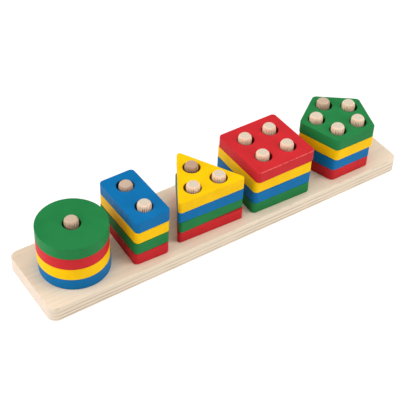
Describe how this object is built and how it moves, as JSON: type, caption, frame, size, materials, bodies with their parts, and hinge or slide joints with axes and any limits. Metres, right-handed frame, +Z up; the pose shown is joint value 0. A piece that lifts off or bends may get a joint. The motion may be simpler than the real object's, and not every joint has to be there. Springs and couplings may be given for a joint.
{
  "type": "shape sorting board",
  "caption": "Wooden toy board with fluted pegs in rows, on which painted circle, rectangle, triangle, square and pentagon plates with peg holes stack and lift off.",
  "frame": {"origin": "centre of the board's underside, on the surface it stands on", "axes": "+X along the board from the circle to the pentagon, +Y to the back, +Z up along the pegs"},
  "size_m": [0.3584, 0.0756, 0.065],
  "materials": {
    "plywood": "sanded birch plywood",
    "dowel": "fluted beech dowel, bare",
    "green_paint": "satin green paint on wood",
    "red_paint": "satin red paint on wood",
    "yellow_paint": "satin yellow paint on wood",
    "blue_paint": "satin blue paint on wood"
  },
  "bodies": {
    "board": {"base_board": "plywood", "circle_peg": "dowel", "rectangle_peg_1": "dowel", "rectangle_peg_2": "dowel", "triangle_peg_1": "dowel", "triangle_peg_2": "dowel", "triangle_peg_3": "dowel", "square_peg_1": "dowel", "square_peg_2": "dowel", "square_peg_3": "dowel", "square_peg_4": "dowel", "pentagon_peg_1": "dowel", "pentagon_peg_2": "dowel", "pentagon_peg_3": "dowel", "pentagon_peg_4": "dowel", "pentagon_peg_5": "dowel"},
    "circle_plate_blue": {"circle_plate_blue": "blue_paint"},
    "circle_plate_yellow": {"circle_plate_yellow": "yellow_paint"},
    "circle_plate_red": {"circle_plate_red": "red_paint"},
    "circle_plate_green": {"circle_plate_green": "green_paint"},
    "rectangle_plate_red": {"rectangle_plate_red": "red_paint"},
    "rectangle_plate_green": {"rectangle_plate_green": "green_paint"},
    "rectangle_plate_yellow": {"rectangle_plate_yellow": "yellow_paint"},
    "rectangle_plate_blue": {"rectangle_plate_blue": "blue_paint"},
    "triangle_plate_red": {"triangle_plate_red": "red_paint"},
    "triangle_plate_green": {"triangle_plate_green": "green_paint"},
    "triangle_plate_blue": {"triangle_plate_blue": "blue_paint"},
    "triangle_plate_yellow": {"triangle_plate_yellow": "yellow_paint"},
    "square_plate_green": {"square_plate_green": "green_paint"},
    "square_plate_blue": {"square_plate_blue": "blue_paint"},
    "square_plate_yellow": {"square_plate_yellow": "yellow_paint"},
    "square_plate_red": {"square_plate_red": "red_paint"},
    "pentagon_plate_red": {"pentagon_plate_red": "red_paint"},
    "pentagon_plate_blue": {"pentagon_plate_blue": "blue_paint"},
    "pentagon_plate_yellow": {"pentagon_plate_yellow": "yellow_paint"},
    "pentagon_plate_green": {"pentagon_plate_green": "green_paint"}
  },
  "joints": [
    {"name": "circle_plate_blue_lift", "type": "slide", "parent": "board", "child": "circle_plate_blue", "axis": [0, 0, 1], "range_m": [0, 0.0552]},
    {"name": "circle_plate_yellow_lift", "type": "slide", "parent": "circle_plate_blue", "child": "circle_plate_yellow", "axis": [0, 0, 1], "range_m": [0, 0.0438]},
    {"name": "circle_plate_red_lift", "type": "slide", "parent": "circle_plate_yellow", "child": "circle_plate_red", "axis": [0, 0, 1], "range_m": [0, 0.0324]},
    {"name": "circle_plate_green_lift", "type": "slide", "parent": "circle_plate_red", "child": "circle_plate_green", "axis": [0, 0, 1], "range_m": [0, 0.021]},
    {"name": "rectangle_plate_red_lift", "type": "slide", "parent": "board", "child": "rectangle_plate_red", "axis": [0, 0, 1], "range_m": [0, 0.0552]},
    {"name": "rectangle_plate_green_lift", "type": "slide", "parent": "rectangle_plate_red", "child": "rectangle_plate_green", "axis": [0, 0, 1], "range_m": [0, 0.0438]},
    {"name": "rectangle_plate_yellow_lift", "type": "slide", "parent": "rectangle_plate_green", "child": "rectangle_plate_yellow", "axis": [0, 0, 1], "range_m": [0, 0.0324]},
    {"name": "rectangle_plate_blue_lift", "type": "slide", "parent": "rectangle_plate_yellow", "child": "rectangle_plate_blue", "axis": [0, 0, 1], "range_m": [0, 0.021]},
    {"name": "triangle_plate_red_lift", "type": "slide", "parent": "board", "child": "triangle_plate_red", "axis": [0, 0, 1], "range_m": [0, 0.0552]},
    {"name": "triangle_plate_green_lift", "type": "slide", "parent": "triangle_plate_red", "child": "triangle_plate_green", "axis": [0, 0, 1], "range_m": [0, 0.0438]},
    {"name": "triangle_plate_blue_lift", "type": "slide", "parent": "triangle_plate_green", "child": "triangle_plate_blue", "axis": [0, 0, 1], "range_m": [0, 0.0324]},
    {"name": "triangle_plate_yellow_lift", "type": "slide", "parent": "triangle_plate_blue", "child": "triangle_plate_yellow", "axis": [0, 0, 1], "range_m": [0, 0.021]},
    {"name": "square_plate_green_lift", "type": "slide", "parent": "board", "child": "square_plate_green", "axis": [0, 0, 1], "range_m": [0, 0.0552]},
    {"name": "square_plate_blue_lift", "type": "slide", "parent": "square_plate_green", "child": "square_plate_blue", "axis": [0, 0, 1], "range_m": [0, 0.0438]},
    {"name": "square_plate_yellow_lift", "type": "slide", "parent": "square_plate_blue", "child": "square_plate_yellow", "axis": [0, 0, 1], "range_m": [0, 0.0324]},
    {"name": "square_plate_red_lift", "type": "slide", "parent": "square_plate_yellow", "child": "square_plate_red", "axis": [0, 0, 1], "range_m": [0, 0.021]},
    {"name": "pentagon_plate_red_lift", "type": "slide", "parent": "board", "child": "pentagon_plate_red", "axis": [0, 0, 1], "range_m": [0, 0.0552]},
    {"name": "pentagon_plate_blue_lift", "type": "slide", "parent": "pentagon_plate_red", "child": "pentagon_plate_blue", "axis": [0, 0, 1], "range_m": [0, 0.0438]},
    {"name": "pentagon_plate_yellow_lift", "type": "slide", "parent": "pentagon_plate_blue", "child": "pentagon_plate_yellow", "axis": [0, 0, 1], "range_m": [0, 0.0324]},
    {"name": "pentagon_plate_green_lift", "type": "slide", "parent": "pentagon_plate_yellow", "child": "pentagon_plate_green", "axis": [0, 0, 1], "range_m": [0, 0.021]}
  ]
}
